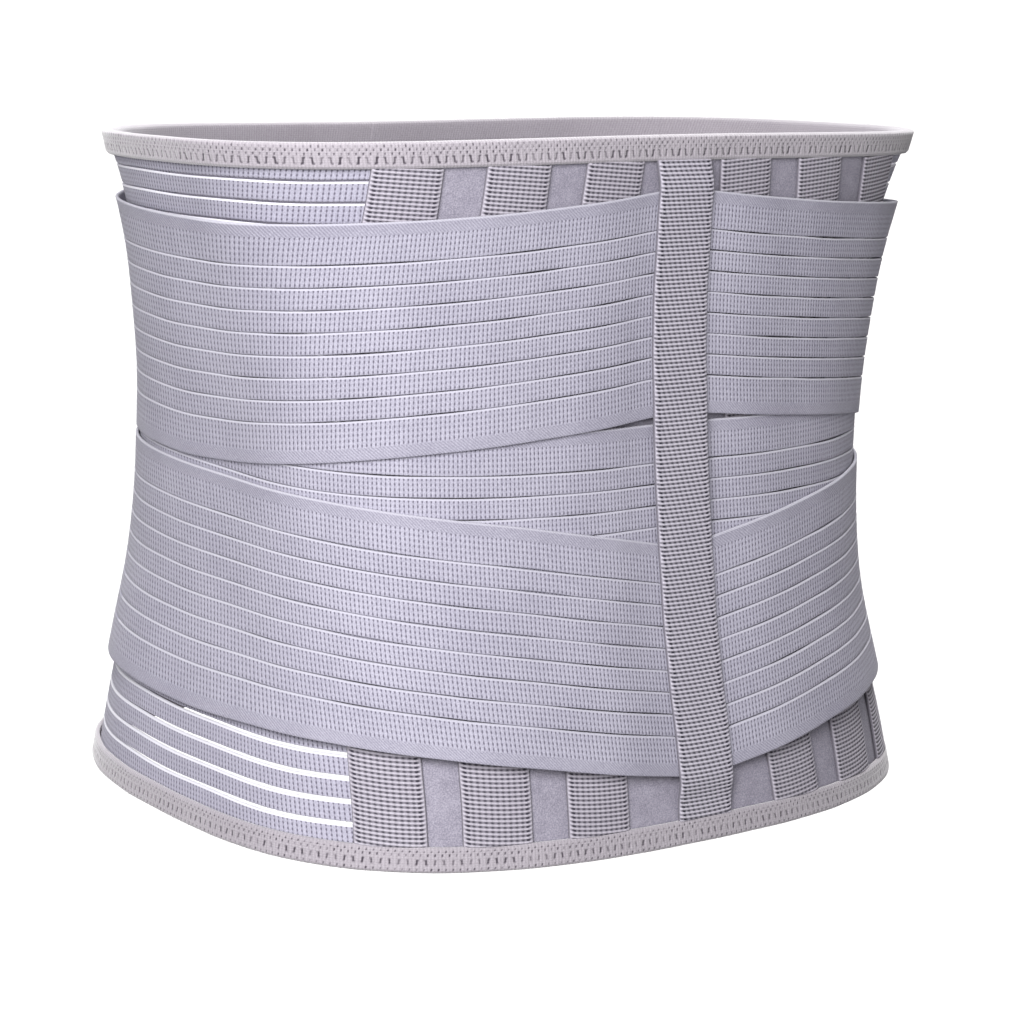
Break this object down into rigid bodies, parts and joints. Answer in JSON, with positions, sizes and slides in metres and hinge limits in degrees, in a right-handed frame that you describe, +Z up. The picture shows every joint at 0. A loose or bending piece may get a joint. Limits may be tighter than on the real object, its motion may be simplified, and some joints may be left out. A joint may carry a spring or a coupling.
{
  "type": "lumbosacral brace",
  "caption": "Elastic lumbosacral brace fastened in a loop: slit elastic sides and crossing pull straps, ribbed stay channels up the back, a centre tape and bound edges.",
  "frame": {"origin": "on the wearer's torso axis, halfway up the brace at the waist", "axes": "+Z up along the torso, +Y towards the wearer's front, +X towards the wearer's right"},
  "size_m": [0.3282, 0.2566, 0.25],
  "materials": {
    "slit_elastic": "knitted slit elastic, matt with a faint sheen",
    "panel_cloth": "brushed loop cloth, matt",
    "webbing": "ribbed woven webbing, matt",
    "binding_tape": "knitted folded elastic tape, matt"
  },
  "bodies": {
    "root": {"back_panel": "panel_cloth", "front_closure": "panel_cloth", "side_panel_left": "slit_elastic", "side_panel_right": "slit_elastic", "top_binding": "binding_tape", "bottom_binding": "binding_tape", "stay_channel_left_1": "webbing", "stay_channel_left_2": "webbing", "stay_channel_left_3": "webbing", "stay_channel_right_1": "webbing", "stay_channel_right_2": "webbing", "stay_channel_right_3": "webbing", "upper_strap_left": "slit_elastic", "upper_strap_right": "slit_elastic", "lower_strap_left": "slit_elastic", "lower_strap_right": "slit_elastic", "middle_strap": "slit_elastic", "centre_tape": "webbing"}
  },
  "joints": []
}
